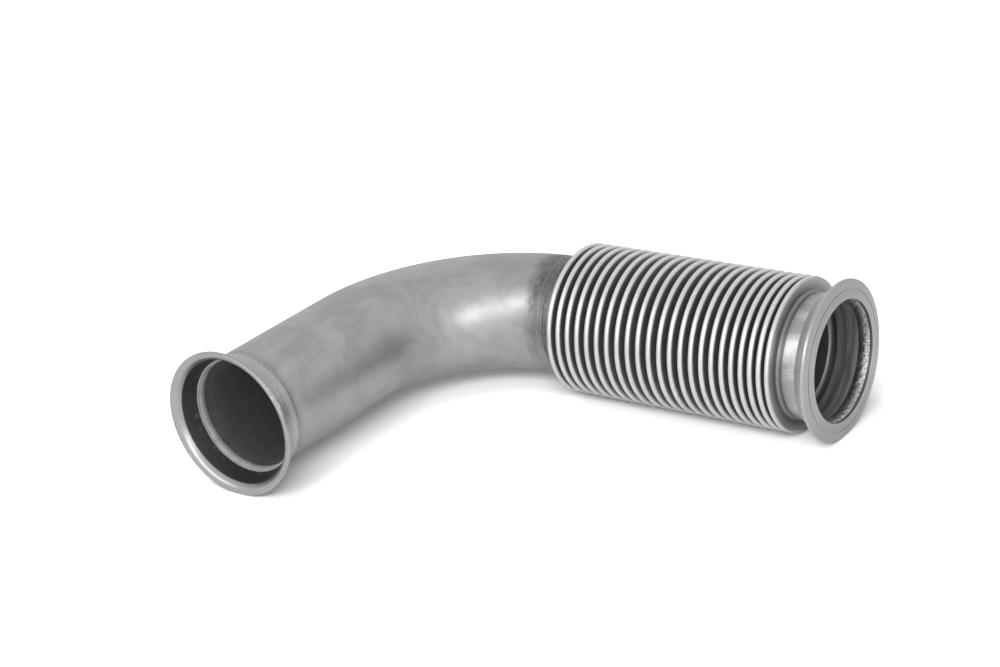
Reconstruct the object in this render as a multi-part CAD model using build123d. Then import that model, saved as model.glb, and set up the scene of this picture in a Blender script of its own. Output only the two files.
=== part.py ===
from build123d import *
import os
from math import atan2, cos, hypot, radians, sin, tan

# Exhaust flex pipe: a bent tube with a V-band flange, then a bellows with a liner and a second flange.
# Millimetres, +Z up. The bend lies flat, and the outlet flange's rim touches the ground at Z = 0.
# Profiles are drawn as (radius, station) pairs and turned about their own leg's axis.
# Inlet stations count from the inlet flange's front, outlet stations from the end of the bend.

# Gap left between parts that are slid together and welded
fit_gap = 0.1

# Tube
tube_od = 101.6
tube_wall = 1.65
inlet_straight = 160.0
bend_radius = 139.7
bend_angle = 90.0
tube_tail = 9.1

# Bellows
bellows_sheet = 0.6
fold_height = 13.5
fold_pitch = 9.5
fold_count = 23
crest_flat = 2.8
cuff_start = 2.1
inlet_cuff = 9.15

# Liner
liner_wall = 0.8
liner_step_in = 3.7
liner_start = 0.2
liner_cone = 7.5
liner_short_of_last_root = 5.15

# Collar over the outlet cuff
collar_wall = 1.25
collar_length = 18.6
collar_from_last_root = 3.25

# Inlet flange
inlet_rim_height = 12.4
inlet_rim_thickness = 3.2
inlet_rim_flat = 1.4
inlet_lip_height = 4.2
inlet_face_angle = 40.0
inlet_back_angle = 20.0
inlet_collar_wall = 1.35
inlet_collar_end = 26.0
inlet_tube_stop = 19.5
inlet_stop_height = 0.5
inlet_lip_round = 3.0
inlet_root_round = 3.0
inlet_neck_round = 8.0
inlet_face_round = 1.2
inlet_edge_round = 0.8
inlet_back_edge_round = 0.6

# Outlet flange
outlet_rim_height = 16.4
outlet_rim_thickness = 2.6
outlet_bore_over_tube = 0.4
outlet_bore_length = 9.6
outlet_face_flat = 1.2
outlet_face_fall = 2.1
outlet_back_angle = 20.0
outlet_seat_height = 3.4
outlet_hub_wall = 4.5
outlet_socket_depth = 5.4
outlet_edge_round = 0.5
outlet_seat_round = 1.5
outlet_hub_round = 1.0
groove_from_bore = 7.8
groove_width = 0.8
groove_depth = 0.5

# Weld beads: how far each one runs, where its crown is and how high it stands
inlet_weld_before_stop = 0.1
inlet_weld_over_tube = 7.0
inlet_weld_crown = 2.8
inlet_weld_height = 1.0
seam_weld_gap = 0.25
seam_weld_length = 3.5
seam_weld_height = 1.2
seam_weld_bulge = 0.85
seam_weld_crown = 2.1
bellows_weld_before_cuff = 1.9
bellows_weld_over_cuff = 1.4
bellows_weld_height = 0.6
outlet_weld_over_cuff = 2.1
outlet_weld_from_shoulder = 6.8
outlet_weld_crown = 2.3
outlet_weld_height = 1.4

# Worked out: radii
tube_r = tube_od / 2
tube_bore_r = tube_r - tube_wall
cuff_bore_r = tube_r + fit_gap
root_r = cuff_bore_r + bellows_sheet
crest_r = root_r + fold_height
collar_bore_r = root_r + fit_gap
collar_r = collar_bore_r + collar_wall
inlet_rim_r = tube_r + inlet_rim_height
inlet_lip_r = tube_r + inlet_lip_height
inlet_socket_r = tube_r + fit_gap
inlet_bore_r = inlet_socket_r - inlet_stop_height - fit_gap
inlet_collar_r = inlet_socket_r + inlet_collar_wall
outlet_rim_r = tube_r + outlet_rim_height
outlet_bore_r = tube_r + outlet_bore_over_tube
outlet_socket_r = collar_r + fit_gap
outlet_seat_r = outlet_rim_r - outlet_seat_height
outlet_hub_r = outlet_socket_r + outlet_hub_wall
liner_end_r = tube_bore_r - fit_gap
liner_waist_r = liner_end_r - liner_step_in

# Worked out: stations
tube_start = inlet_tube_stop + fit_gap
first_root = cuff_start + inlet_cuff
last_root = first_root + fold_count * fold_pitch
liner_end = last_root - liner_short_of_last_root
collar_start = last_root + collar_from_last_root
cuff_end = collar_start + collar_length
shoulder = cuff_end + fit_gap
mouth = shoulder + outlet_bore_length
rim_front = mouth - outlet_face_fall
rim_back = rim_front - outlet_rim_thickness

# Worked out: where each leg lies before the model is centred, with the inlet flange's front at Y = 0,
# and the move that brings the middle of its base to the origin
turn = radians(bend_angle)
bend_end = Vector(bend_radius * (1 - cos(turn)), inlet_straight + bend_radius * sin(turn), 0)
outlet_way = Vector(sin(turn), cos(turn), 0)
mouth_centre = bend_end + outlet_way * mouth
rim_centre = bend_end + outlet_way * rim_front
x_low = -inlet_rim_r
x_high = max(mouth_centre.X, rim_centre.X + outlet_rim_r * cos(turn))
y_high = rim_centre.Y + outlet_rim_r * sin(turn)
home = Location((-(x_low + x_high) / 2, -y_high / 2, outlet_rim_r))
inlet_leg = Plane(origin=(0, 0, 0), x_dir=(1, 0, 0), z_dir=(0, 1, 0))
outlet_leg = Plane(origin=bend_end, x_dir=(0, 0, 1), z_dir=outlet_way)


def turned(outline):
    """A solid of revolution about Z, from a closed outline of (radius, station)."""
    return revolve(Plane.XZ * make_face(outline), Axis.Z, 360)


def rounded_outline(corners):
    """A closed outline from (radius, station, rounding) corners."""
    points = [(r, s) for r, s, rounding in corners]
    return FilletPolyline(*points, radius=[c[2] for c in corners], close=True)


def bead(base, crown):
    """A weld bead's solid: straight sides along base, and an arc through crown that closes them."""
    return turned(Polyline(*base) + ThreePointArc(base[-1], crown, base[0]))


def make_inlet_flange():
    """Pressed V-band flange: dished face, tapered neck, thin collar over the tube, and a small stop inside.

    The neck's outside runs parallel to its inside, from the collar up to the back of the face.
    """
    face_r = inlet_rim_r - inlet_rim_flat
    face_depth = (face_r - inlet_lip_r) * tan(radians(inlet_face_angle))
    taper = (inlet_lip_r - inlet_bore_r) / (inlet_tube_stop - face_depth)
    back_fall = tan(radians(inlet_back_angle))
    root_reach = inlet_tube_stop - inlet_rim_thickness - back_fall * inlet_rim_r
    neck_root_r = (inlet_collar_r + taper * root_reach) / (1 - taper * back_fall)
    root_depth = inlet_rim_thickness + (inlet_rim_r - neck_root_r) * back_fall
    return turned(rounded_outline([
        (inlet_rim_r, 0, inlet_edge_round),
        (face_r, 0, inlet_face_round),
        (inlet_lip_r, face_depth, inlet_lip_round),
        (inlet_bore_r, inlet_tube_stop, 0),
        (inlet_socket_r, inlet_tube_stop, 0),
        (inlet_socket_r, inlet_collar_end, 0),
        (inlet_collar_r, inlet_collar_end, 0),
        (inlet_collar_r, inlet_tube_stop, inlet_neck_round),
        (neck_root_r, root_depth, inlet_root_round),
        (inlet_rim_r, inlet_rim_thickness, inlet_back_edge_round),
    ]))


def make_inlet_weld():
    """Smooth bead inside the inlet, washed over the end of the tube."""
    bore = inlet_bore_r - fit_gap
    tube = tube_bore_r - fit_gap
    start = inlet_tube_stop - inlet_weld_before_stop
    end = inlet_tube_stop + inlet_weld_over_tube
    base = [(tube, end), (tube, inlet_tube_stop), (bore, inlet_tube_stop), (bore, start)]
    return bead(base, (tube - inlet_weld_height, inlet_tube_stop + inlet_weld_crown))


def make_inlet_seam_weld():
    """Low fillet bead outside, between the flange collar's end and the tube."""
    start = inlet_collar_end + fit_gap
    end = start + seam_weld_length
    bore = tube_r + seam_weld_gap
    top = inlet_socket_r + seam_weld_height
    middle = inlet_socket_r + seam_weld_bulge
    base = [(top, start), (bore, start), (bore, end)]
    return bead(base, (middle, start + seam_weld_crown))


def make_bent_tube():
    """One tube: inlet leg, mandrel bend and the short tail inside the bellows' cuff."""
    start = Vector(0, tube_start, 0)
    bend_start = Vector(0, inlet_straight, 0)
    tail = bend_end + outlet_way * tube_tail
    path = Line(start, bend_start)
    path += TangentArc(bend_start, bend_end, tangent=(0, 1, 0))
    path += Line(bend_end, tail)
    section = Plane(origin=start, z_dir=(0, 1, 0)) * (Circle(tube_r) - Circle(tube_bore_r))
    return sweep(section, path)


def make_bellows_weld():
    """Thin bead on the tube that closes the edge of the bellows' inlet cuff."""
    start = cuff_start - bellows_weld_before_cuff
    edge = cuff_start - fit_gap
    end = cuff_start + bellows_weld_over_cuff
    cuff = root_r + fit_gap
    base = [(cuff_bore_r, start), (cuff_bore_r, edge), (cuff, edge), (cuff, end)]
    return bead(base, (cuff + bellows_weld_height, cuff_start - fit_gap))


def make_bellows():
    """Folds of one thin sheet, flat at the crests and sharp at the roots, with plain cuffs.

    The first and last folds are stiffer: inside, they close to a point under the crest.
    """
    half_fold = fold_pitch / 2
    half_crest = crest_flat / 2
    lean = (half_fold - half_crest) / fold_height
    wall = bellows_sheet * hypot(1, lean)
    inner_crest_r = crest_r - bellows_sheet
    inner_half_crest = half_crest - wall + lean * bellows_sheet
    inner_root_r = root_r - wall / lean
    cuff_corner = wall - lean * bellows_sheet
    outside = [(root_r, cuff_start)]
    inside = [(cuff_bore_r, cuff_start), (cuff_bore_r, first_root + cuff_corner)]
    for fold in range(fold_count):
        middle = first_root + (fold + 0.5) * fold_pitch
        outside += [(root_r, middle - half_fold), (crest_r, middle - half_crest), (crest_r, middle + half_crest)]
        if fold in (0, fold_count - 1):
            inside += [(inner_crest_r, middle)]
        else:
            inside += [(inner_crest_r, middle - inner_half_crest), (inner_crest_r, middle + inner_half_crest)]
        if fold < fold_count - 1:
            inside += [(inner_root_r, middle + half_fold)]
    outside += [(root_r, last_root), (root_r, cuff_end)]
    inside += [(cuff_bore_r, last_root - cuff_corner), (cuff_bore_r, cuff_end)]
    return turned(Polyline(*outside, *reversed(inside), close=True))


def make_liner():
    """Thin sleeve lapped inside the tube's tail, coned in, and free at its outlet end."""
    cone_start = tube_tail + fit_gap
    cone_end = cone_start + liner_cone
    slope = atan2(liner_step_in, liner_cone)
    shift = liner_wall * tan(slope / 2)
    flare_bore = liner_end_r - liner_wall
    waist_bore = liner_waist_r - liner_wall
    return turned(Polyline(
        (liner_end_r, liner_start),
        (liner_end_r, cone_start),
        (liner_waist_r, cone_end),
        (liner_waist_r, liner_end),
        (waist_bore, liner_end),
        (waist_bore, cone_end - shift),
        (flare_bore, cone_start - shift),
        (flare_bore, liner_start),
        close=True,
    ))


def make_outlet_collar():
    """Thin sleeve over the bellows' outlet cuff."""
    return turned(Polyline(
        (collar_bore_r, collar_start),
        (collar_r, collar_start),
        (collar_r, cuff_end),
        (collar_bore_r, cuff_end),
        close=True,
    ))


def make_outlet_flange():
    """Turned V-band flange: sloping face with a fine groove, the clamp's seat, and a hub over the collar."""
    flat_r = outlet_bore_r + outlet_face_flat
    slope = outlet_face_fall / (outlet_rim_r - flat_r)
    groove_in = outlet_bore_r + groove_from_bore
    groove_out = groove_in + groove_width
    face_in = mouth - slope * (groove_in - flat_r)
    face_out = mouth - slope * (groove_out - flat_r)
    seat = rim_back - outlet_seat_height * tan(radians(outlet_back_angle))
    hub_end = shoulder - outlet_socket_depth
    return turned(rounded_outline([
        (outlet_bore_r, mouth, outlet_edge_round),
        (flat_r, mouth, 0),
        (groove_in, face_in, 0),
        (groove_in, face_in - groove_depth, 0),
        (groove_out, face_out - groove_depth, 0),
        (groove_out, face_out, 0),
        (outlet_rim_r, rim_front, outlet_edge_round),
        (outlet_rim_r, rim_back, outlet_edge_round),
        (outlet_seat_r, seat, outlet_seat_round),
        (outlet_hub_r, hub_end, outlet_hub_round),
        (outlet_socket_r, hub_end, 0),
        (outlet_socket_r, shoulder, 0),
        (outlet_bore_r, shoulder, 0),
    ]))


def make_outlet_weld():
    """Bead inside the mouth that joins the flange's bore to the bellows' cuff."""
    bore = outlet_bore_r - fit_gap
    cuff = cuff_bore_r - fit_gap
    start = cuff_end - outlet_weld_over_cuff
    end = shoulder + outlet_weld_from_shoulder
    base = [(bore, end), (bore, shoulder), (cuff, shoulder), (cuff, start)]
    return bead(base, (cuff - outlet_weld_height, shoulder + outlet_weld_crown))


def build():
    """Every node's name and solid, before the model is centred."""
    return {
        "inlet_flange": inlet_leg * make_inlet_flange(),
        "inlet_weld": inlet_leg * make_inlet_weld(),
        "inlet_seam_weld": inlet_leg * make_inlet_seam_weld(),
        "bent_tube": make_bent_tube(),
        "bellows_weld": outlet_leg * make_bellows_weld(),
        "bellows": outlet_leg * make_bellows(),
        "liner": outlet_leg * make_liner(),
        "outlet_collar": outlet_leg * make_outlet_collar(),
        "outlet_flange": outlet_leg * make_outlet_flange(),
        "outlet_weld": outlet_leg * make_outlet_weld(),
    }


os.makedirs("parts", exist_ok=True)
for name, piece in build().items():
    export_step(home * piece, f"parts/{name}.step")
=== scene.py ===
from functools import cached_property
from math import acos, atan2, ceil, cos, hypot, pi, radians, sin, tan, tau

import bpy
from mathutils import Matrix, Quaternion, Vector


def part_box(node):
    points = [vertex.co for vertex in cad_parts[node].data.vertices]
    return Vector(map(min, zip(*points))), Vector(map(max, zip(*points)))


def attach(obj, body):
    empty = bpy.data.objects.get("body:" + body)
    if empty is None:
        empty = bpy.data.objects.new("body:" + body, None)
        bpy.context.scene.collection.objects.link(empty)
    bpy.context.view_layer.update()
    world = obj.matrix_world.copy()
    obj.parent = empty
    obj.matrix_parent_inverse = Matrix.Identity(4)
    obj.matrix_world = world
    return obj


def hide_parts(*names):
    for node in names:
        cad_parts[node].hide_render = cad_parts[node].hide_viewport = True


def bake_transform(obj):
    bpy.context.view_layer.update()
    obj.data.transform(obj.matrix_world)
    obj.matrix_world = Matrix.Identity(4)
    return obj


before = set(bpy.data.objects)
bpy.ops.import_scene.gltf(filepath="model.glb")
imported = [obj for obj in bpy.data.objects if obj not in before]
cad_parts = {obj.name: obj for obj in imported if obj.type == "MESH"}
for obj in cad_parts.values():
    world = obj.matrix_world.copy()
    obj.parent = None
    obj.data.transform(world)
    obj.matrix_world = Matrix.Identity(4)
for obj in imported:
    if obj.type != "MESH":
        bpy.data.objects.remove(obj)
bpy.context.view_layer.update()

# Exhaust flex pipe: its stainless skins, folds and weld beads, dressed over the frame's solids.
# Outlines are (radius, station) pairs in millimetres, which the leg functions turn into the frame's metres.
# Inlet stations count from the inlet flange's front, outlet stations from the end of the bend.
MM = 0.001

# Points in a ring, on the skins and on the two kinds of rippled bead
skin_turns = 176
bead_turns = 360
fine_bead_turns = 480

# The most degrees between two points of an arc, on a rounded edge and on a fold
edge_step = 15
fold_step = 18

# What keeps two surfaces from lying in each other
hair = 0.02

# Wall thicknesses and fits, as the solids have them
fit = 0.1
tube_wall = 1.65
sheet = 0.6
liner_wall = 0.8
collar_wall = 1.25

# Where the bellows' cuff starts and where the tube ends, past the end of the bend
cuff_start = 2.1
tube_tail = 9.1

# Inlet flange, as its solid has it
inlet_rim_flat = 1.4
inlet_rim_thickness = 3.2
inlet_lip_height = 4.2
inlet_face_angle = 40
inlet_back_angle = 20
inlet_collar_wall = 1.35
inlet_stop_height = 0.5

# The crown of the inlet flange's lip: how far in from the rim's flat, and how far back
lip_crown_in = 4.0
lip_crown_back = 1.6

# Outlet flange, as its solid has it
outlet_bore_over_tube = 0.4
outlet_face_flat = 1.2
outlet_face_fall = 2.1
outlet_rim_thickness = 2.6
outlet_seat_height = 3.4
outlet_back_angle = 20
outlet_hub_wall = 4.5
groove_from_bore = 7.8
groove_width = 0.8
groove_depth = 0.5

# Liner's step down from its flare, as its solid has it
liner_step_in = 3.7
liner_cone = 7.5

# Bellows folds: their number and pitch, the roundings of the sheet, and how uneven the crests' spacing is
fold_count = 23
fold_pitch = 9.5
first_root = 11.25
last_root = first_root + fold_count * fold_pitch
crest_round = 2.35
root_round = 1.3
end_root_round = 2.8
crowding = 0.077
bunching = -0.138

# Beads: how high each stands, how far it runs out past its solid, the seam's gap over the tube and its lap on
# the collar, and how far the bellows' weaves to either side
inlet_bead_height = 1.0
inlet_bead_run_out = 2.5
seam_bead_gap = 0.25
seam_bead_lap = 1.0
seam_bead_run_out = 0.6
bellows_bead_height = 0.6
bellows_bead_weave = 0.35
outlet_bead_height = 1.4
outlet_bead_run_out = 1.2

# The mottled weld line in the tube's finish, from the end of the bend
weld_line_from_bend = -8.0

# Sizes read from the frame, in millimetres
flange_low, flange_high = [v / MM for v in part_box("inlet_flange")]
tube_low, tube_high = [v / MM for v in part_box("bent_tube")]
bellows_low, bellows_high = [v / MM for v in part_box("bellows")]
liner_low, liner_high = [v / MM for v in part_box("liner")]
collar_low, collar_high = [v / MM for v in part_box("outlet_collar")]
mouth_low, mouth_high = [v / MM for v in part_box("outlet_flange")]
tube_r = (tube_high.z - tube_low.z) / 2
tube_bore = tube_r - tube_wall
centre_z = (tube_high.z + tube_low.z) / 2
inlet_x = (flange_low.x + flange_high.x) / 2
inlet_y = flange_low.y
inlet_rim_r = (flange_high.x - flange_low.x) / 2
tube_stop = tube_low.y - inlet_y - fit
bend_end_x = bellows_low.x - cuff_start
outlet_y = (bellows_low.y + bellows_high.y) / 2
bend_radius = bend_end_x - inlet_x
bend_start = outlet_y - bend_radius - inlet_y
bend_length = bend_radius * pi / 2
bend_end = bend_start + bend_length
crest_r = (bellows_high.z - bellows_low.z) / 2
root_r = tube_r + fit + sheet
cuff_end = bellows_high.x - bend_end_x
collar_start = collar_low.x - bend_end_x
collar_r = (collar_high.z - collar_low.z) / 2
liner_end = liner_high.x - bend_end_x
mouth = mouth_high.x - bend_end_x
hub_end = mouth_low.x - bend_end_x
outlet_rim_r = (mouth_high.z - mouth_low.z) / 2


# Legs

def inlet_leg(radius, station, angle):
    """A point round the inlet leg's axis."""
    return Vector((inlet_x + radius * cos(angle), inlet_y + station, centre_z + radius * sin(angle))) * MM


def outlet_leg(radius, station, angle):
    """A point round the outlet leg's axis. Angle 0 is the outside of the bend, 90 degrees the top."""
    return Vector((bend_end_x + station, outlet_y - radius * cos(angle), centre_z + radius * sin(angle))) * MM


def whole_pipe(radius, station, angle):
    """A point round the pipe's centre line: up the inlet leg, round the bend and along the outlet leg."""
    if station <= bend_start:
        return inlet_leg(-radius, station, -angle)
    if station >= bend_end:
        return outlet_leg(-radius, station - bend_end, -angle)
    turn = (station - bend_start) / bend_radius
    reach = bend_radius + radius * cos(angle)
    return Vector((bend_end_x - reach * cos(turn), inlet_y + bend_start + reach * sin(turn),
                   centre_z + radius * sin(angle))) * MM


# Outlines

def arc(centre, radius, start, sweep, count):
    """Points along an arc, whose angles are in radians from the radial direction."""
    angles = [start + sweep * k / count for k in range(count + 1)]
    return [(centre[0] + radius * cos(a), centre[1] + radius * sin(a)) for a in angles]


def three_point_arc(start, through, end, count):
    """Points along the circle through three (radius, station) points."""
    ax, ay = start
    bx, by = through
    cx, cy = end
    d = 2 * (ax * (by - cy) + bx * (cy - ay) + cx * (ay - by))
    ux = ((ax**2 + ay**2) * (by - cy) + (bx**2 + by**2) * (cy - ay) + (cx**2 + cy**2) * (ay - by)) / d
    uy = ((ax**2 + ay**2) * (cx - bx) + (bx**2 + by**2) * (ax - cx) + (cx**2 + cy**2) * (bx - ax)) / d
    first = atan2(ay - uy, ax - ux)
    middle = atan2(by - uy, bx - ux)
    last = atan2(cy - uy, cx - ux)
    sweep = (last - first) % tau
    if (middle - first) % tau > sweep:
        sweep -= tau
    return arc((ux, uy), hypot(ax - ux, ay - uy), first, sweep, count)


def rounded(corners):
    """A closed outline from (radius, station, rounding) corners, with each rounding drawn as an arc."""
    points = []
    for i, (r, s, rounding) in enumerate(corners):
        if not rounding:
            points.append((r, s))
            continue
        here = Vector((r, s))
        back = Vector(corners[i - 1][:2]) - here
        ahead = Vector(corners[(i + 1) % len(corners)][:2]) - here
        half = back.angle(ahead) / 2
        reach = rounding / tan(half)
        back.normalize()
        ahead.normalize()
        centre = here + (back + ahead).normalized() * (rounding / sin(half))
        first = here + back * reach - centre
        last = here + ahead * reach - centre
        sweep = first.angle_signed(last)
        count = max(3, ceil(abs(sweep) / radians(edge_step)))
        points += arc(centre, rounding, atan2(first.y, first.x), -sweep, count)
    return points


# Meshes

def piece(name, body, finish, leg, rings, lining=None, shape=None, turns=skin_turns, sharp=40):
    """A solid made of closed rings round a leg, one ring for each point of its outline.

    The rings from number lining on are its inside, which the inner attribute marks for the finishes.
    shape moves a point of a ring: shape(radius, station, angle) gives its new radius and station.
    The leg attribute holds each point as if its leg were straight, for the finishes to follow.
    """
    points, unbent = [], []
    for r, s in rings:
        for k in range(turns):
            angle = tau * k / turns
            radius, station = shape(r, s, angle) if shape else (r, s)
            points.append(leg(radius, station, angle))
            unbent += [station * MM, radius * cos(angle) * MM, radius * sin(angle) * MM]
    faces = []
    for i in range(len(rings)):
        here, there = i * turns, (i + 1) % len(rings) * turns
        for k in range(turns):
            after = (k + 1) % turns
            faces.append((here + k, here + after, there + after, there + k))
    mesh = bpy.data.meshes.new(name)
    mesh.from_pydata(points, [], faces)
    if volume(mesh) < 0:
        mesh.flip_normals()
    mesh.attributes.new("leg", "FLOAT_VECTOR", "POINT").data.foreach_set("vector", unbent)
    if lining:
        marks = [float(i >= lining) for i in range(len(rings)) for _ in range(turns)]
        mesh.attributes.new("inner", "FLOAT", "POINT").data.foreach_set("value", marks)
    mesh.shade_smooth()
    mesh.set_sharp_from_angle(angle=radians(sharp))
    mesh.materials.append(finish)
    thing = bpy.data.objects.new(name, mesh)
    bpy.context.scene.collection.objects.link(thing)
    if body:
        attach(thing, body)
    return thing


def volume(mesh):
    """Six times the mesh's signed volume, negative where its faces look inward."""
    total = 0.0
    for face in mesh.polygons:
        corners = [mesh.vertices[v].co for v in face.vertices]
        for i in range(1, len(corners) - 1):
            total += corners[0].dot(corners[i].cross(corners[i + 1]))
    return total


# Finishes

class Value:
    """A socket of a finish's node tree that takes ordinary arithmetic."""

    def __init__(self, finish, socket):
        self.finish = finish
        self.socket = socket

    def maths(self, operation, *others):
        """A Math node with this value first."""
        return self.finish.maths(operation, self, *others)

    def __add__(self, other):
        return self.maths("ADD", other)

    def __sub__(self, other):
        return self.maths("SUBTRACT", other)

    def __mul__(self, other):
        return self.maths("MULTIPLY", other)

    def __truediv__(self, other):
        return self.maths("DIVIDE", other)

    def __rsub__(self, other):
        return self.finish.maths("SUBTRACT", other, self)

    def __rtruediv__(self, other):
        return self.finish.maths("DIVIDE", other, self)

    __radd__ = __add__
    __rmul__ = __mul__

    def fade(self, start, end):
        """0 at start and 1 at end, whichever of the two is the larger, and smooth between them."""
        return self.finish.node("ShaderNodeMapRange", {"interpolation_type": "SMOOTHSTEP"},
                                {"Value": self, "From Min": start, "From Max": end})

    def band(self, middle, half):
        """1 at middle, falling smoothly to 0 at half either side."""
        return (self - middle).maths("ABSOLUTE").fade(half, 0.0)


class Finish:
    """A tree of nodes, and the point that it colours.

    The point is taken as if its leg were straight, in metres. Its parts are made when they are first used.
    """

    def __init__(self, name=None, tree=None):
        if name:
            self.material = bpy.data.materials.new(name)
            self.material.use_nodes = True
            tree = self.material.node_tree
        self.tree = tree
        self.tree.nodes.clear()

    def node(self, kind, settings=None, sockets=None, output=0):
        """One node: its settings are set first, and then the values or links of its sockets."""
        made = self.tree.nodes.new(kind)
        for key, value in (settings or {}).items():
            setattr(made, key, value)
        for key, value in (sockets or {}).items():
            socket = made.inputs[key]
            if isinstance(value, Value):
                self.tree.links.new(value.socket, socket)
            else:
                socket.default_value = value
        if made.outputs:
            return Value(self, made.outputs[output])

    def maths(self, operation, *values):
        """A Math node on values or plain numbers."""
        return self.node("ShaderNodeMath", {"operation": operation}, dict(enumerate(values)))

    def vector(self, x, y, z):
        """A vector from three values."""
        return self.node("ShaderNodeCombineXYZ", None, {"X": x, "Y": y, "Z": z})

    def noise(self, place, scale=1.0, detail=2.0, rough=0.5, distortion=0.0):
        """Cloudy noise over a vector, from about 0 to 1."""
        return self.node("ShaderNodeTexNoise", None, {
            "Vector": place, "Scale": scale, "Detail": detail, "Roughness": rough, "Distortion": distortion})

    @cached_property
    def place(self):
        """The whole point, as a vector."""
        return self.node("ShaderNodeAttribute", {"attribute_name": "leg"}, output="Vector")

    @cached_property
    def station(self):
        """How far it is along its leg."""
        return self.node("ShaderNodeSeparateXYZ", None, {"Vector": self.place}, "X")

    @cached_property
    def across(self):
        """How far it is to one side of the axis."""
        return self.node("ShaderNodeSeparateXYZ", None, {"Vector": self.place}, "Y")

    @cached_property
    def up(self):
        """How far it is above the axis."""
        return self.node("ShaderNodeSeparateXYZ", None, {"Vector": self.place}, "Z")

    @cached_property
    def radius(self):
        """How far it is from the axis."""
        return (self.across * self.across + self.up * self.up).maths("SQRT")

    def stretched(self, along, around):
        """The point for a noise that has one scale along the leg and another around it."""
        return self.vector(self.station * along, self.across * around, self.up * around)

    def ringed(self, fine, across):
        """The point for a noise in fine rings round the axis, which change slowly across it."""
        return self.vector(self.station * fine, self.radius * fine, self.across * across)

    def inner(self):
        """1 on a piece's inside, and 0 on its outside."""
        return self.node("ShaderNodeAttribute", {"attribute_name": "inner"}, output="Fac")

    def bump(self, height, depth):
        """The normal over an uneven height, of which 1 stands for depth in millimetres."""
        return self.node("ShaderNodeBump", None, {"Height": height, "Distance": depth * MM})

    def surface(self, shader, kind="ShaderNodeOutputMaterial"):
        """Ends the tree with a shader."""
        self.node(kind, None, {"Surface": shader})

    def steel(self, tone, roughness, normal, bare=1.0):
        """Ends the finish as steel of a grey tone. bare is 1 for clean metal, and less under a dull film."""
        self.surface(self.node("ShaderNodeBsdfPrincipled", None, {
            "Base Color": tone, "Roughness": roughness, "Metallic": bare, "Normal": normal}))
        return self.material


def tube_steel():
    """Satin tube: drawing lines along it, blotches from bending, and heat marks before the bellows."""
    f = Finish("tube_satin")
    lines = f.noise(f.stretched(6, 260), detail=3.0)
    cloud = f.noise(f.stretched(17, 24), detail=4.0, rough=0.6, distortion=0.9)
    blotch = f.noise(f.stretched(38, 46), detail=5.0, rough=0.62, distortion=0.8)
    stain = cloud.fade(0.42, 0.58) * 0.6 + blotch.fade(0.40, 0.64) * 0.4
    weld_line = (bend_end + weld_line_from_bend) * MM
    wander = (f.noise(f.place, 70.0, 4.0, 0.6) - 0.5) * (16 * MM)
    along = f.station - wander
    mottle = f.noise(f.place, 160.0, 5.0, 0.7).fade(0.35, 0.65)
    upper = f.up.fade(8 * MM, 36 * MM)
    lower = f.up.fade(50 * MM, 20 * MM)
    heat = along.fade(weld_line - 24 * MM, weld_line - 6 * MM) * (0.50 + upper * 0.50)
    heat = heat * (0.72 + mottle * 0.28)
    bead = along.band(weld_line - 10 * MM, 6 * MM) * lower
    grit = f.noise(f.place, 420.0, 4.0, 0.7).fade(0.42, 0.68) * bead
    seam = (f.station - wander * 0.15).band(weld_line, 1.8 * MM) * mottle
    collar_heat = f.station.fade(38 * MM, 30 * MM)
    outside = f.radius.fade((tube_r - 1.2) * MM, (tube_r - 0.6) * MM)
    marks = (1 - heat * 0.66) * (1 - collar_heat * 0.18)
    clean = (0.315 + stain * 0.07 + lines * 0.02) * (0.70 + outside * 0.30)
    tone = clean * marks + seam * 0.09 + grit * 0.10
    rough = 0.65 - outside * (0.21 + stain * 0.03) + lines * 0.04
    dents = blotch * 0.25 + cloud * 0.25 + lines * 0.10 + grit * 0.6 + seam * 0.3 + mottle * heat * 0.3
    return f.steel(tone, rough, f.bump(dents, 0.40))


def bellows_steel():
    """Frosted folds with a painted highlight on each crest and painted shade down into each root, plainer end
    walls, dull cuffs and a streaky inside.
    """
    f = Finish("bellows_frosted")
    inner = f.inner()
    rings = f.noise(f.ringed(900, 6))
    cloud = f.noise(f.place, 40.0, 4.0, 0.6)
    grain = f.noise(f.place, 900.0, 3.0, 0.6).fade(0.25, 0.75)
    streaks = f.noise(f.stretched(260, 16), detail=4.0, distortion=0.6)
    # Painted highlight on the crests, and painted shade that deepens down the walls into the roots
    crown = f.radius.fade((crest_r - 3.4) * MM, (crest_r - 0.8) * MM)
    painted_wall_light = f.radius.fade((root_r + 2.0) * MM, (crest_r - 2.0) * MM)
    first_crest, last_crest = crest_station(0), crest_station(fold_count - 1)
    # The two end walls skip the roots' painted shade and get a painted shade of their own, darker towards the
    # root
    end = f.station.fade((first_crest - 0.5) * MM, (first_crest - 2.5) * MM)
    end = end + f.station.fade((last_crest + 0.5) * MM, (last_crest + 2.5) * MM)
    cuff = f.station.fade((first_root + 2.0) * MM, first_root * MM)
    cuff = cuff + f.station.fade((last_root - 2.0) * MM, last_root * MM)
    # The folds' tone is painted light and shade: dark roots, lighter walls, bright crests
    folds = 0.24 + painted_wall_light * 0.06 + crown * (0.26 + grain * 0.12)
    outside = (folds * (1 - end) + end * (0.28 + painted_wall_light * 0.20)) * (1 - cuff) + cuff * 0.20
    inside = 0.20 + streaks.fade(0.35, 0.65) * 0.24
    tone = (outside * (1 - inner) + inside * inner) * (0.86 + cloud * 0.28)
    rough = 0.44 + rings * 0.06 + cloud * 0.06
    return f.steel(tone, rough, f.bump(rings * 0.5 + cloud, 0.06), bare=1 - inner * 0.7)


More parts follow.
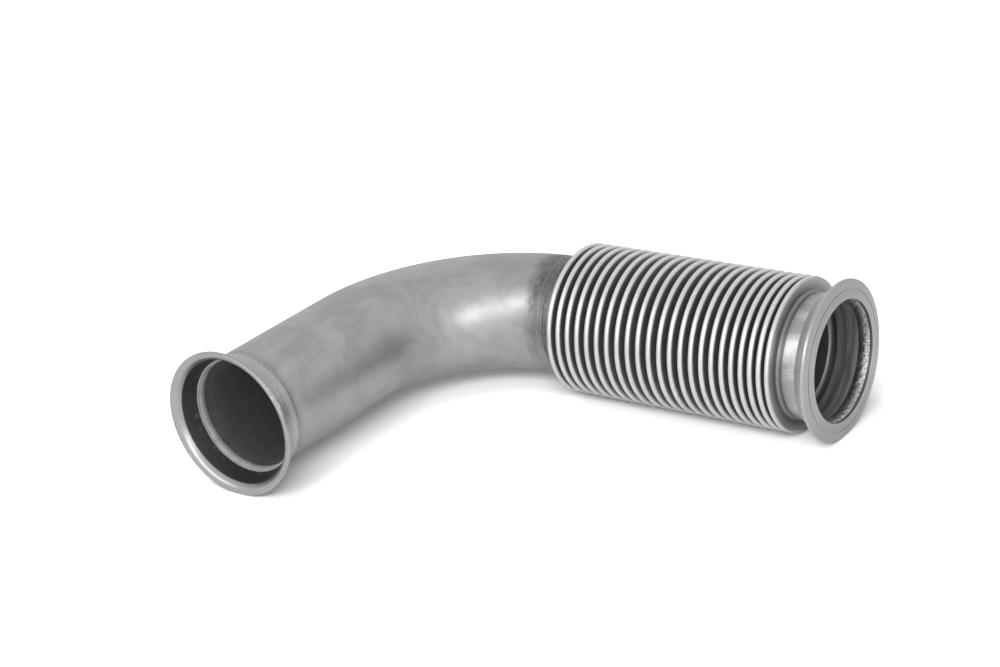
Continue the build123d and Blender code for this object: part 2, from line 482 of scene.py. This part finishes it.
def pressed_steel():
    """Pressed flange: faint clouds and radial draw marks, painted shade in its dished bore, a neck painted
    paler as sheen, and spatter on one side of its rim.
    """
    f = Finish("flange_pressed")
    cloud = f.noise(f.place, 26.0, 4.0, 0.6)
    draw = f.noise(f.vector(f.across / f.radius * 24, f.up / f.radius * 24, f.radius * 40), detail=3.0)
    rim = f.radius.fade(58.5 * MM, 60.5 * MM)
    behind = f.station.band(15 * MM, 5 * MM)
    side = f.across.fade(32 * MM, 44 * MM) * f.up.band(33 * MM, 18 * MM)
    side = side * (rim + behind * 0.7)
    spatter = f.noise(f.place, 620.0, 5.0, 0.75).fade(0.46, 0.60) * side
    # Painted shade inside the flange: the bore past its lip is drawn much darker
    painted_shade_line = f.radius + (f.station - 5.7 * MM) * 0.34
    painted_dish_shade = painted_shade_line.fade(56.1 * MM, 55.5 * MM) * f.station.fade(5.0 * MM, 6.6 * MM)
    specks = f.noise(f.place, 330.0, 3.0, 0.6).fade(0.60, 0.68) * painted_dish_shade * f.station.band(17.5 * MM, 5 * MM)
    lip = f.station.fade(7.5 * MM, 6.0 * MM) * f.radius.fade(54.5 * MM, 55.5 * MM)
    # Painted sheen: the neck is drawn paler, standing in for light on it
    neck = f.station.fade(12 * MM, 26 * MM)
    tone = (0.31 + cloud * 0.08) * (1 - painted_dish_shade * 0.76) * (1 + neck * 0.16) + spatter * 0.50 + specks * 0.12
    rough = 0.38 - lip * 0.08 + cloud * 0.08 + draw * 0.06
    return f.steel(tone, rough, f.bump(cloud * 0.3 + draw * 0.1 + spatter + specks, 0.30))


def turned_steel():
    """Turned flange: fine concentric tool marks, and a stepped hub behind the rim that is painted paler as
    light.
    """
    f = Finish("flange_turned")
    marks = f.noise(f.ringed(1500, 4), detail=3.0, rough=0.6)
    steps = f.noise(f.ringed(420, 0), detail=2.0)
    cloud = f.noise(f.place, 22.0, 4.0, 0.6)
    # Painted light: the hub behind the rim is drawn paler, with its turned steps in it
    hub = f.station.fade((mouth - 6.2) * MM, (mouth - 7.4) * MM)
    tone = 0.36 + cloud * 0.08 + marks * 0.03 + hub * (0.16 + steps.fade(0.35, 0.65) * 0.22)
    rough = 0.32 + marks * 0.08 + cloud * 0.05
    return f.steel(tone, rough, f.bump(marks, 0.08))


def collar_steel():
    """Rolled collar over the outlet's cuff, wiped clean in patches, with a painted highlight along its edge.
    """
    f = Finish("collar_satin")
    wipe = f.noise(f.stretched(20, 60), detail=4.0, rough=0.6, distortion=0.8)
    # Painted highlight along the collar's edge towards the folds
    edge = f.station.fade((collar_start + 0.8) * MM, (collar_start + 0.3) * MM)
    tone = 0.36 + wipe.fade(0.40, 0.62) * 0.16 + edge * 0.45
    return f.steel(tone, 0.32 + wipe * 0.10, f.bump(wipe, 0.08))


def liner_steel():
    """Smooth rolled sheet, streaked along its length, with a painted highlight on its free edge."""
    f = Finish("liner_smooth")
    streaks = f.noise(f.stretched(5, 120), detail=3.0)
    # Painted highlight along the liner's free edge
    edge = f.station.fade((liner_end - 0.7) * MM, (liner_end - 0.3) * MM)
    tone = 0.17 + streaks * 0.06 + edge * 0.75
    return f.steel(tone, 0.34 + streaks * 0.08, f.bump(streaks, 0.05), bare=0.5)


def bead_steel():
    """The inlet's bead: pale satin metal, with painted shade where it runs out along the tube into the bore.
    """
    f = Finish("weld_smooth")
    cloud = f.noise(f.place, 90.0, 4.0, 0.6)
    end = (tube_low.y - inlet_y + 5.0) * MM
    # Painted shade: the bead darkens where it runs deeper into the bore
    shade = 1 - f.station.fade(end - 1 * MM, end + 5 * MM) * 0.75
    tone = (0.56 + cloud.fade(0.35, 0.65) * 0.14) * shade
    return f.steel(tone, 0.50 + cloud * 0.12, f.bump(cloud, 0.05), bare=0.2)


def weld_steel(name, tone, roughness, grain, depth, contrast):
    """Weld metal: its grain is darker in the hollows, by contrast."""
    f = Finish(name)
    grit = f.noise(f.place, grain, 5.0, 0.7)
    cloud = f.noise(f.place, grain / 6, 3.0)
    shade = 1 - grit.fade(0.65, 0.35) * contrast
    return f.steel(shade * tone + cloud * 0.08, roughness + cloud * 0.15, f.bump(grit, depth))


# Pieces

def make_tube(finish):
    """The bent tube, in rings close together round the bend, with its ends' edges broken."""
    start = tube_low.y - inlet_y
    last = bend_end + tube_tail
    edge = 0.3
    bend_rings = 60
    stations = [start + edge, start + 20, start + 60, start + 100]
    stations += [bend_start + bend_length * i / bend_rings for i in range(bend_rings + 1)]
    stations += [last - edge]
    outline = [(tube_r - edge, start)] + [(tube_r, s) for s in stations] + [(tube_r - edge, last)]
    outline += [(tube_bore + edge, last)] + [(tube_bore, s) for s in reversed(stations)]
    outline += [(tube_bore + edge, start)]
    thing = piece("bent_tube_skin", "inlet_pipe", finish, whole_pipe, outline, sharp=60)
    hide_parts("bent_tube")


def make_inlet_flange(finish):
    """Pressed V-band flange: dished face, tapered neck, thin collar over the tube and a small stop inside."""
    collar = tube_r + fit + inlet_collar_wall
    bore = tube_r - inlet_stop_height
    end = flange_high.y - flange_low.y
    face_r = inlet_rim_r - inlet_rim_flat
    lip_r = tube_r + inlet_lip_height
    lip = (face_r - lip_r) * tan(radians(inlet_face_angle))
    taper = (lip_r - bore) / (tube_stop - lip)
    fall = tan(radians(inlet_back_angle))
    root = (collar + taper * (tube_stop - inlet_rim_thickness - fall * inlet_rim_r)) / (1 - taper * fall)
    root_depth = inlet_rim_thickness + (inlet_rim_r - root) * fall
    outline = rounded([
        (inlet_rim_r, 0, 0.9),
        (face_r, 0, 2.0),
        (face_r - lip_crown_in, lip_crown_back, 6.0),
        (lip_r, lip, 3.0),
        (bore, tube_stop, 0),
        (tube_r + fit, tube_stop, 0),
        (tube_r + fit, end, 0),
        (collar, end, 0.3),
        (collar, tube_stop, 8.0),
        (root, root_depth, 3.0),
        (inlet_rim_r, inlet_rim_thickness, 0.8),
    ])
    thing = piece("inlet_flange_skin", "inlet_pipe", finish, inlet_leg, outline,
                  sharp=60)
    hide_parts("inlet_flange")


def make_inlet_weld(finish):
    """The smooth bead over the tube's end: it rises gently from the flange and runs out along the tube."""
    low, high = [v.y / MM - inlet_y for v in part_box("inlet_weld")]
    bore = tube_r - inlet_stop_height - fit
    tube = tube_bore - hair
    rise = (tube - 0.45, tube_stop + 2.2)
    crown = (tube - inlet_bead_height, tube_stop + 5.2)
    fall = (tube - 0.75, high + 0.4)
    run_out = high + inlet_bead_run_out
    curve = three_point_arc((bore, low), rise, crown, 10)
    curve += three_point_arc(crown, fall, (tube, run_out), 8)[1:]
    outline = [(tube, tube_stop), (bore, tube_stop)] + curve

    def ripple(r, s, angle):
        """Slightly uneven, but for the corners that meet the flange and the tube."""
        if r in (tube, bore) and s in (tube_stop, low, run_out):
            return r, s
        return r + 0.04 * sin(angle * 23) + 0.06 * sin(angle * 7 + 1), s

    thing = piece("inlet_weld_bead", "inlet_pipe", finish, inlet_leg, outline, shape=ripple,
                  turns=fine_bead_turns)
    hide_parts("inlet_weld")


def make_seam_weld(finish):
    """A low bead that laps the collar's edge and runs out smoothly on the tube."""
    low, high = [v.y / MM - inlet_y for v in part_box("inlet_seam_weld")]
    bore = tube_r + seam_bead_gap
    base = bore - 0.2
    top = tube_r + fit + inlet_collar_wall
    lap = low - seam_bead_lap
    run_out = high + seam_bead_run_out
    count = 12
    slope = []
    for k in range(count + 1):
        height = 0.5 + 0.5 * cos(pi * k / count)
        slope.append((bore + hair + (top - bore) * height, lap + (run_out - lap) * k / count))
    outline = [(bore, lap)] + slope + [(base, run_out), (base, low)]

    def ripple(r, s, angle):
        """Slightly uneven on its outer face, and the more so down towards the tube."""
        if r <= bore:
            return r, s
        return r + 0.05 * sin(angle * 90) * (top - r) / (top - bore), s

    thing = piece("inlet_seam_bead", "inlet_pipe", finish, inlet_leg, outline, shape=ripple,
                  turns=bead_turns)
    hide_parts("inlet_seam_weld")


def make_bellows_weld(finish):
    """The thin bead against the end of the bellows' cuff, wavy on both its sides."""
    low, high = [v.x / MM - bend_end_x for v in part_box("bellows_weld")]
    bore = tube_r + fit
    cuff = root_r + fit
    edge = cuff_start - fit
    crown = three_point_arc((bore, low), (cuff + bellows_bead_height, edge), (cuff, high), 8)
    outline = [(cuff, high), (cuff, edge), (bore, edge)] + crown[:-1]

    def weave(r, s, angle):
        """Moved along the tube, but for the corners against the cuff's end."""
        if r in (cuff, bore) and s == edge:
            return r, s
        share = 1 if s > edge else 0.6
        return r, s + bellows_bead_weave * sin(angle * 9) * share + 0.15 * sin(angle * 31)

    thing = piece("bellows_weld_bead", "inlet_pipe", finish, outlet_leg, outline, shape=weave,
                  turns=bead_turns)
    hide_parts("bellows_weld")


def crest_station(i):
    """Where a crest lies: the folds aren't quite evenly spaced along the bellows."""
    t = i / (fold_count - 1)
    even = (fold_count - 1) * fold_pitch
    shift = crowding * t * (1 - t) + bunching * t * (1 - t) * (1 - 2 * t)
    return first_root + fold_pitch / 2 + even * (t + shift)


def wall_points(crest, root, root_rounding, inward):
    """One side of a fold, from the crest's top to the root's bottom, on the sheet's outside or inside."""
    side = 1 if root > crest else -1
    crest_centre = (crest_r - crest_round, crest)
    root_centre = (root_r + root_rounding, root)
    drop = crest_centre[0] - root_centre[0]
    run = abs(root - crest)
    lean = pi / 2 - acos((crest_round + root_rounding) / hypot(drop, run)) + atan2(drop, run)
    count = ceil(lean / radians(fold_step))
    crest_arc = arc(crest_centre, crest_round - inward, 0, side * lean, count)
    root_arc = arc(root_centre, root_rounding + inward, pi + side * lean, -side * lean, count)
    return crest_arc + root_arc


def make_bellows(finish):
    """The folds in two lengths, split at the middle root."""
    crests = [crest_station(i) for i in range(fold_count)]
    roots = [first_root] + [(a + b) / 2 for a, b in zip(crests, crests[1:])] + [last_root]
    rounds = [end_root_round] + [root_round] * (fold_count - 1) + [end_root_round]
    half = fold_count // 2
    split = roots[half]

    def skin(folds, inward):
        """A run of folds: inward is 0 for the sheet's outside, and its thickness for its inside."""
        points = []
        for i in folds:
            up = wall_points(crests[i], roots[i], rounds[i], inward)[::-1]
            down = wall_points(crests[i], roots[i + 1], rounds[i + 1], inward)
            points += (up if not points else up[1:]) + down[1:]
        return points

    first, second = range(half), range(half, fold_count)
    outside = [(root_r, cuff_start + 0.2)] + skin(first, 0)
    inside = [(root_r - sheet, cuff_start)] + skin(first, sheet)
    near = piece("bellows_inlet_folds", None, finish, outlet_leg, outside + inside[::-1],
                 lining=len(outside), sharp=60)
    outside = skin(second, 0) + [(root_r, cuff_end)]
    inside = skin(second, sheet) + [(root_r - sheet, cuff_end)]
    far = piece("bellows_outlet_folds", None, finish, outlet_leg, outside + inside[::-1],
                lining=len(outside), sharp=60)
    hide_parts("bellows")
    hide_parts("bellows")

    def on_axis(station):
        """A point on the bellows' axis."""
        return Vector((bend_end_x + station, outlet_y, centre_z)) * MM

    on_axis(first_root)
    on_axis(split)
    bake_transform(near)
    on_axis(split)
    on_axis(last_root)
    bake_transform(far)


def make_liner(finish):
    """The inner sleeve: a flare lapped inside the tube, a cone, and a straight run to its free end."""
    flare = tube_bore - fit
    waist = flare - liner_step_in
    start = liner_low.x - bend_end_x
    cone = tube_tail + fit
    shift = liner_wall * tan(atan2(liner_step_in, liner_cone) / 2)
    outline = rounded([
        (flare, start, 0),
        (flare, cone, 2.0),
        (waist, cone + liner_cone, 3.0),
        (waist, liner_end, 0.35),
        (waist - liner_wall, liner_end, 0.35),
        (waist - liner_wall, cone + liner_cone - shift, 3.0),
        (flare - liner_wall, cone - shift, 2.0),
        (flare - liner_wall, start, 0),
    ])
    thing = piece("liner_sleeve", "inlet_pipe", finish, outlet_leg, outline)
    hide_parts("liner")


def make_collar(finish):
    """The thin sleeve over the outlet's cuff, with a rounded edge towards the folds."""
    bore = collar_r - collar_wall
    outline = rounded([
        (bore, collar_start, 0.2),
        (collar_r, collar_start, 0.45),
        (collar_r, cuff_end, 0),
        (bore, cuff_end, 0),
    ])
    thing = piece("outlet_collar_sleeve", "outlet_end", finish, outlet_leg, outline)
    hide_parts("outlet_collar")


def make_outlet_flange(finish):
    """Turned V-band flange: a face that falls back from its mouth, a fine groove in it, and a hub behind."""
    bore = tube_r + outlet_bore_over_tube
    flat = bore + outlet_face_flat
    front = mouth - outlet_face_fall
    back = front - outlet_rim_thickness
    seat_r = outlet_rim_r - outlet_seat_height
    seat = back - outlet_seat_height * tan(radians(outlet_back_angle))
    slope = outlet_face_fall / (outlet_rim_r - flat)
    groove = bore + groove_from_bore
    groove_inner = mouth - slope * (groove - flat)
    groove_outer = mouth - slope * (groove + groove_width - flat)
    hub_r = collar_r + fit + outlet_hub_wall
    shoulder = cuff_end + fit
    outline = rounded([
        (bore, mouth, 0.5),
        (flat, mouth, 0.3),
        (groove, groove_inner, 0.1),
        (groove, groove_inner - groove_depth, 0),
        (groove + groove_width, groove_outer - groove_depth, 0),
        (groove + groove_width, groove_outer, 0.1),
        (outlet_rim_r, front, 0.5),
        (outlet_rim_r, back, 0.5),
        (seat_r, seat, 1.5),
        (hub_r, hub_end, 1.0),
        (collar_r + fit, hub_end, 0),
        (collar_r + fit, shoulder, 0),
        (bore, shoulder, 0),
    ])
    thing = piece("outlet_flange_turned", "outlet_end", finish, outlet_leg, outline)
    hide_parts("outlet_flange")


def make_outlet_weld(finish):
    """The rough bead inside the mouth, from the flange's bore down over the end of the cuff."""
    low, high = [v.x / MM - bend_end_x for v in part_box("outlet_weld")]
    shoulder = cuff_end + fit
    bore = tube_r + outlet_bore_over_tube - fit
    cuff = tube_r
    crown = (cuff - outlet_bead_height, shoulder + 1.6)
    outline = [(cuff, shoulder), (bore, shoulder)]
    outline += three_point_arc((bore, high), crown, (cuff, low - outlet_bead_run_out), 14)

    def rough(r, s, angle):
        """Uneven all over, but for its two corners against the flange's shoulder."""
        if (r, s) in ((cuff, shoulder), (bore, shoulder)):
            return r, s
        return r - 0.10 * sin(angle * 110) - 0.08 * sin(angle * 37 + s), s

    thing = piece("outlet_weld_bead", "outlet_end", finish, outlet_leg, outline, shape=rough,
                  turns=fine_bead_turns)
    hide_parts("outlet_weld")


# Stage

def seen(f):
    """1 where a ray comes straight from the camera or by way of mirrors and glass alone, and 0 elsewhere."""
    camera, glossy, through = [f.node("ShaderNodeLightPath", output=f"Is {kind} Ray")
                               for kind in ("Camera", "Glossy", "Transmission")]
    direct = f.node("ShaderNodeLightPath", output="Diffuse Depth").maths("LESS_THAN", 0.5)
    return camera.maths("MAXIMUM", glossy).maths("MAXIMUM", through) * direct


def make_floor():
    """A pale floor through the three points that the pipe rests on: both rims and the first crest.

    Where it is seen it is whiter than its own tone, and the more so away from the pipe.
    """
    reach = 8.0
    tone = 0.85
    whiter_near = 0.75
    whiter_away = 2.6
    outlet_rim = mouth_high.x - 3
    inlet_rim = inlet_y + 2
    rest_out = Vector((outlet_rim, outlet_y, mouth_low.z)) * MM
    rest_in = Vector((inlet_x, inlet_rim, flange_low.z)) * MM
    rest_fold = Vector((bend_end_x + crest_station(0), outlet_y, bellows_low.z)) * MM
    up = (rest_in - rest_fold).cross(rest_out - rest_fold).normalized()
    if up.z < 0:
        up = -up
    corners = []
    for x, y in ((-reach, -reach), (reach, -reach), (reach, reach), (-reach, reach)):
        z = rest_fold.z - (up.x * (x - rest_fold.x) + up.y * (y - rest_fold.y)) / up.z
        corners.append((x, y, z))
    mesh = bpy.data.meshes.new("floor")
    mesh.from_pydata(corners, [], [(0, 1, 2, 3)])
    f = Finish("floor_pale")
    camera = f.node("ShaderNodeLightPath", output="Is Camera Ray")
    place = f.node("ShaderNodeNewGeometry", output="Position")
    away = f.node("ShaderNodeVectorMath", {"operation": "LENGTH"}, {0: place}, "Value").fade(0.5, 1.6)
    white = seen(f) + camera * (whiter_near + away * whiter_away) + tone
    f.surface(f.node("ShaderNodeBsdfDiffuse", None, {"Color": white}))
    mesh.materials.append(f.material)
    floor = bpy.data.objects.new("floor", mesh)
    bpy.context.scene.collection.objects.link(floor)


def make_world():
    """White where it is seen, and a dim light on whatever is matt."""
    dim = 0.20
    world = bpy.data.worlds.new("studio")
    world.use_nodes = True
    bpy.context.scene.world = world
    f = Finish(tree=world.node_tree)
    strength = dim + seen(f) * (1 - dim)
    glow = f.node("ShaderNodeBackground", None, {"Color": (1, 1, 1, 1), "Strength": strength})
    f.surface(glow, "ShaderNodeOutputWorld")


def lamp(name, place, width, height, power, lean=(1, 0, 0), gloss=True):
    """A softbox aimed at the pipe, its power in watts and its width along lean.

    With gloss it shows only in reflections, and without it lights only what is matt.
    """
    aim = Vector((0.0, 0.1, 0.08))
    light = bpy.data.lights.new(name, "AREA")
    light.shape = "RECTANGLE"
    light.size = width
    light.size_y = height
    light.energy = power
    thing = bpy.data.objects.new(name, light)
    back = (Vector(place) - aim).normalized()
    rise = back.cross(Vector(lean)).normalized()
    thing.matrix_world = Matrix((rise.cross(back), rise, back)).transposed().to_4x4()
    thing.location = place
    thing.visible_glossy = gloss
    thing.visible_diffuse = not gloss
    bpy.context.scene.collection.objects.link(thing)


def make_lamps():
    """Two softboxes that the metal reflects, and two that light what is matt and throw the shadow."""
    lamp("front_softbox", (-0.35, -1.75, 1.25), 1.8, 0.7, 13, lean=(0.96, -0.20, -0.20))
    lamp("camera_softbox", (1.30, -2.00, 0.96), 1.9, 0.65, 21, lean=(0.90, 0.35, -0.28))
    lamp("top_softbox", (-0.45, -0.45, 1.75), 1.4, 1.1, 8, gloss=False)
    lamp("floor_softbox", (0.92, -1.86, 1.58), 1.7, 0.8, 27, gloss=False)


def make_camera():
    """The photograph's view."""
    place = Vector((1.03959, -1.39480, 0.83461))
    aim = Vector((-0.06706, 0.05683, 0.06720))
    roll = radians(-6.118)
    lens = bpy.data.cameras.new("camera")
    lens.sensor_width = 36
    lens.lens = 82.807
    camera = bpy.data.objects.new("camera", lens)
    camera.location = place
    camera.rotation_mode = "QUATERNION"
    camera.rotation_quaternion = (aim - place).to_track_quat("-Z", "Y") @ Quaternion((0, 0, 1), roll)
    bpy.context.scene.collection.objects.link(camera)
    bpy.context.scene.camera = camera
    bpy.context.scene.view_settings.view_transform = "Standard"


make_camera()
make_world()
make_floor()
make_lamps()
make_tube(tube_steel())
make_collar(collar_steel())
make_inlet_flange(pressed_steel())
make_outlet_flange(turned_steel())
make_liner(liner_steel())
make_bellows(bellows_steel())
make_inlet_weld(bead_steel())
make_seam_weld(weld_steel("weld_seam", tone=0.33, roughness=0.46, grain=300.0, depth=0.06, contrast=0.30))
make_bellows_weld(weld_steel("weld_thin", tone=0.15, roughness=0.44, grain=300.0, depth=0.06, contrast=0.45))
make_outlet_weld(weld_steel("weld_rough", tone=0.56, roughness=0.36, grain=420.0, depth=0.40, contrast=0.70))
